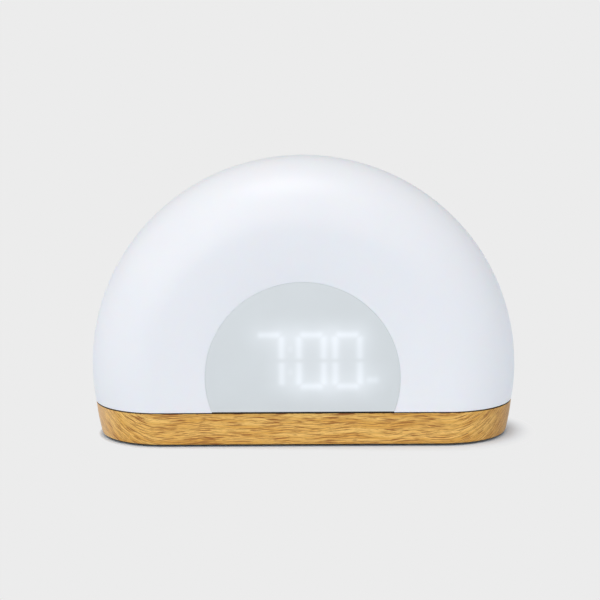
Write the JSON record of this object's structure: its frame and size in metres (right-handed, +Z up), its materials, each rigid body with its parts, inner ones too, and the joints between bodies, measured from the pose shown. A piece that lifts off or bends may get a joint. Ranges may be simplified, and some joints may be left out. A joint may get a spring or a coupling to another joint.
{
  "type": "sunrise alarm clock",
  "caption": "Half-round sunrise lamp and alarm clock with a round-topped display window on a wood-look base; speaker, push buttons and power inlet at the back.",
  "frame": {"origin": "centre of the footprint, on the table under the feet", "axes": "+X to the right seen from the front, +Y to the back, +Z up; the window faces -Y"},
  "size_m": [0.2, 0.06, 0.1332],
  "materials": {
    "opal_plastic": "satin opal moulding",
    "window_plastic": "smoked translucent sheet",
    "foam": "closed-cell foam",
    "film": "frosted film",
    "wood_look_plastic": "satin wood-grain print",
    "dark_plastic": "fine matt texture",
    "rubber": "matt",
    "steel": "zinc plated",
    "white_plastic": "matt",
    "light_package": "phosphor window",
    "grey_plastic": "matt",
    "lit_bar": "lit epoxy",
    "dark_bar": "unlit epoxy",
    "circuit_board": "solder mask",
    "ribbon": "flat cable",
    "panel_plastic": "fine matt texture",
    "button_plastic": "satin",
    "black_plastic": "matt",
    "ferrite": "sintered",
    "cone_paper": "pressed paper",
    "red_wire": "insulated wire",
    "yellow_wire": "insulated wire",
    "capacitor_can": "sleeved can",
    "ivory_plastic": "satin",
    "contact_metal": "nickel plated"
  },
  "bodies": {
    "clock": {"front_shade": "opal_plastic", "rear_shade": "opal_plastic", "window": "window_plastic", "light_seal": "foam", "diffuser_film": "film", "base_shell": "wood_look_plastic", "base_deck": "dark_plastic", "bottom_cover": "dark_plastic", "feet": "rubber", "case_screws": "steel", "shade_screws": "steel", "core_screws": "steel", "core_housing": "white_plastic", "light_strip": "white_plastic", "lights": "light_package", "digit_block": "grey_plastic", "lit_bars": "lit_bar", "dark_bars": "dark_bar", "display_board": "circuit_board", "display_screws": "steel", "display_ribbon": "ribbon", "rear_panel": "panel_plastic", "panel_screws": "steel", "button_board": "circuit_board", "board_screws": "steel", "switch_bodies": "black_plastic", "button_ribbon": "ribbon", "speaker_frame": "steel", "speaker_magnet": "ferrite", "speaker_cone": "cone_paper", "speaker_surround": "rubber", "speaker_gasket": "foam", "speaker_screws": "steel", "speaker_wires": "red_wire", "main_board": "circuit_board", "main_board_screws": "steel", "main_chips": "black_plastic", "capacitors": "capacitor_can", "connectors": "ivory_plastic", "power_inlet": "black_plastic", "inlet_pin": "contact_metal", "inlet_leaf": "contact_metal", "light_wires": "yellow_wire", "coin_cell": "contact_metal", "cell_holder": "black_plastic", "cell_spring": "contact_metal", "battery_door": "dark_plastic", "door_screw": "steel"},
    "light_key": {"light_button": "button_plastic", "light_switch_stem": "black_plastic"},
    "alarm_key": {"alarm_button": "button_plastic", "alarm_switch_stem": "black_plastic"},
    "sound_key": {"sound_button": "button_plastic", "sound_switch_stem": "black_plastic"},
    "clock_key": {"clock_button": "button_plastic", "clock_switch_stem": "black_plastic"},
    "minus_key": {"minus_button": "button_plastic", "minus_switch_stem": "black_plastic"},
    "plus_key": {"plus_button": "button_plastic", "plus_switch_stem": "black_plastic"}
  },
  "joints": [
    {"name": "press_light", "type": "slide", "parent": "clock", "child": "light_key", "axis": [0, -1, 0], "range_m": [0, 0.0005], "stiffness_N_per_m": 2000},
    {"name": "press_alarm", "type": "slide", "parent": "clock", "child": "alarm_key", "axis": [0, -1, 0], "range_m": [0, 0.0005], "stiffness_N_per_m": 2000},
    {"name": "press_sound", "type": "slide", "parent": "clock", "child": "sound_key", "axis": [0, -1, 0], "range_m": [0, 0.0005], "stiffness_N_per_m": 2000},
    {"name": "press_clock", "type": "slide", "parent": "clock", "child": "clock_key", "axis": [0, -1, 0], "range_m": [0, 0.0005], "stiffness_N_per_m": 2000},
    {"name": "press_minus", "type": "slide", "parent": "clock", "child": "minus_key", "axis": [0, -1, 0], "range_m": [0, 0.0005], "stiffness_N_per_m": 2000},
    {"name": "press_plus", "type": "slide", "parent": "clock", "child": "plus_key", "axis": [0, -1, 0], "range_m": [0, 0.0005], "stiffness_N_per_m": 2000}
  ]
}
